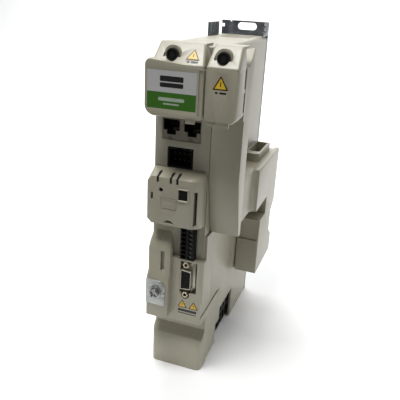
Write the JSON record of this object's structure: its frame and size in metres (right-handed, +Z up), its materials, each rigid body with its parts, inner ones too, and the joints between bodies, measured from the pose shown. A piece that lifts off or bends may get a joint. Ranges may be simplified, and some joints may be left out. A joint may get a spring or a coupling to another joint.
{
  "type": "servo drive",
  "caption": "Slim bookshelf servo drive with stacked front connectors, pull-off terminal covers, a keypad pod, an option bay on its right side and a sheet-metal wall plate.",
  "frame": {"origin": "middle of the bounding box in plan, on the plane of the base", "axes": "+X to the right seen from the front, +Y back towards the wall, +Z up"},
  "size_m": [0.062, 0.162, 0.262],
  "materials": {
    "cream_plastic": "fine spark-eroded moulding grain",
    "galvanised_sheet": "zinc-plated sheet, folded",
    "screw_steel": "zinc-plated turned parts",
    "heatsink_aluminium": "extruded, plain",
    "black_plastic": "fine moulded surface",
    "board_green": "solder-masked laminate",
    "capacitor_sleeve": "shrink sleeve",
    "transformer_tape": "wound tape",
    "terminal_green": "moulded",
    "display_dark": "tinted clear plastic",
    "button_red": "moulded",
    "lens_clear": "light pipe",
    "shield_metal": "nickel-plated stamped shell",
    "contact_brass": "plated contacts",
    "post_brass": "nickel-plated hexagon posts",
    "grommet_rubber": "moulded rubber",
    "label_grey": "printed film",
    "label_green": "printed film",
    "mark_yellow": "printed film"
  },
  "bodies": {
    "drive": {"rear_case": "cream_plastic", "upper_front_housing": "cream_plastic", "lower_front_housing": "cream_plastic", "base_housing": "cream_plastic", "right_housing": "cream_plastic", "bay_housing": "cream_plastic", "back_plate": "galvanised_sheet", "side_sheet": "galvanised_sheet", "heatsink": "heatsink_aluminium", "plate_screws": "screw_steel", "fan_frame": "black_plastic", "power_board": "board_green", "control_board": "board_green", "bus_capacitors": "capacitor_sleeve", "power_module": "black_plastic", "rectifier": "black_plastic", "supply_transformer": "transformer_tape", "supply_terminals": "terminal_green", "bus_terminals": "terminal_green", "motor_terminals": "black_plastic", "terminal_screws": "screw_steel", "keypad_pod": "cream_plastic", "display_window": "display_dark", "display_module": "black_plastic", "reset_switch": "black_plastic", "card_socket": "black_plastic", "status_lens": "lens_clear", "port_shield": "shield_metal", "port_inserts": "black_plastic", "port_contacts": "contact_brass", "aux_header": "black_plastic", "aux_pins": "contact_brass", "control_header": "black_plastic", "control_pins": "contact_brass", "encoder_shell": "shield_metal", "encoder_insert": "black_plastic", "encoder_posts": "post_brass", "earth_plate": "galvanised_sheet", "earth_washer": "screw_steel", "earth_screw": "screw_steel", "caution_marks": "mark_yellow"},
    "left_cover_body": {"left_cover": "cream_plastic", "left_grommet": "grommet_rubber", "label_plate": "label_grey", "label_band": "label_green", "left_mark": "mark_yellow"},
    "right_cover_body": {"right_cover": "cream_plastic", "right_grommet": "grommet_rubber", "right_mark": "mark_yellow"},
    "control_plug_body": {"control_plug": "black_plastic", "control_plug_screws": "screw_steel"},
    "reset_button_body": {"reset_button": "button_red"},
    "fan_rotor_body": {"fan_rotor": "black_plastic"}
  },
  "joints": [
    {"name": "left_cover_slide", "type": "slide", "parent": "drive", "child": "left_cover_body", "axis": [0, -1, 0], "range_m": [0, 0.035]},
    {"name": "right_cover_slide", "type": "slide", "parent": "drive", "child": "right_cover_body", "axis": [0, -1, 0], "range_m": [0, 0.035]},
    {"name": "control_plug_slide", "type": "slide", "parent": "drive", "child": "control_plug_body", "axis": [0, -1, 0], "range_m": [0, 0.014]},
    {"name": "reset_button_press", "type": "slide", "parent": "drive", "child": "reset_button_body", "axis": [0, 1, 0], "range_m": [0, 0.0008], "stiffness_N_per_m": 400, "springref_m": -0.0005},
    {"name": "fan_spin", "type": "hinge", "parent": "drive", "child": "fan_rotor_body", "pos_m": [-0.0094, 0.0565, 0.014], "axis": [0, 0, 1], "continuous": true}
  ]
}
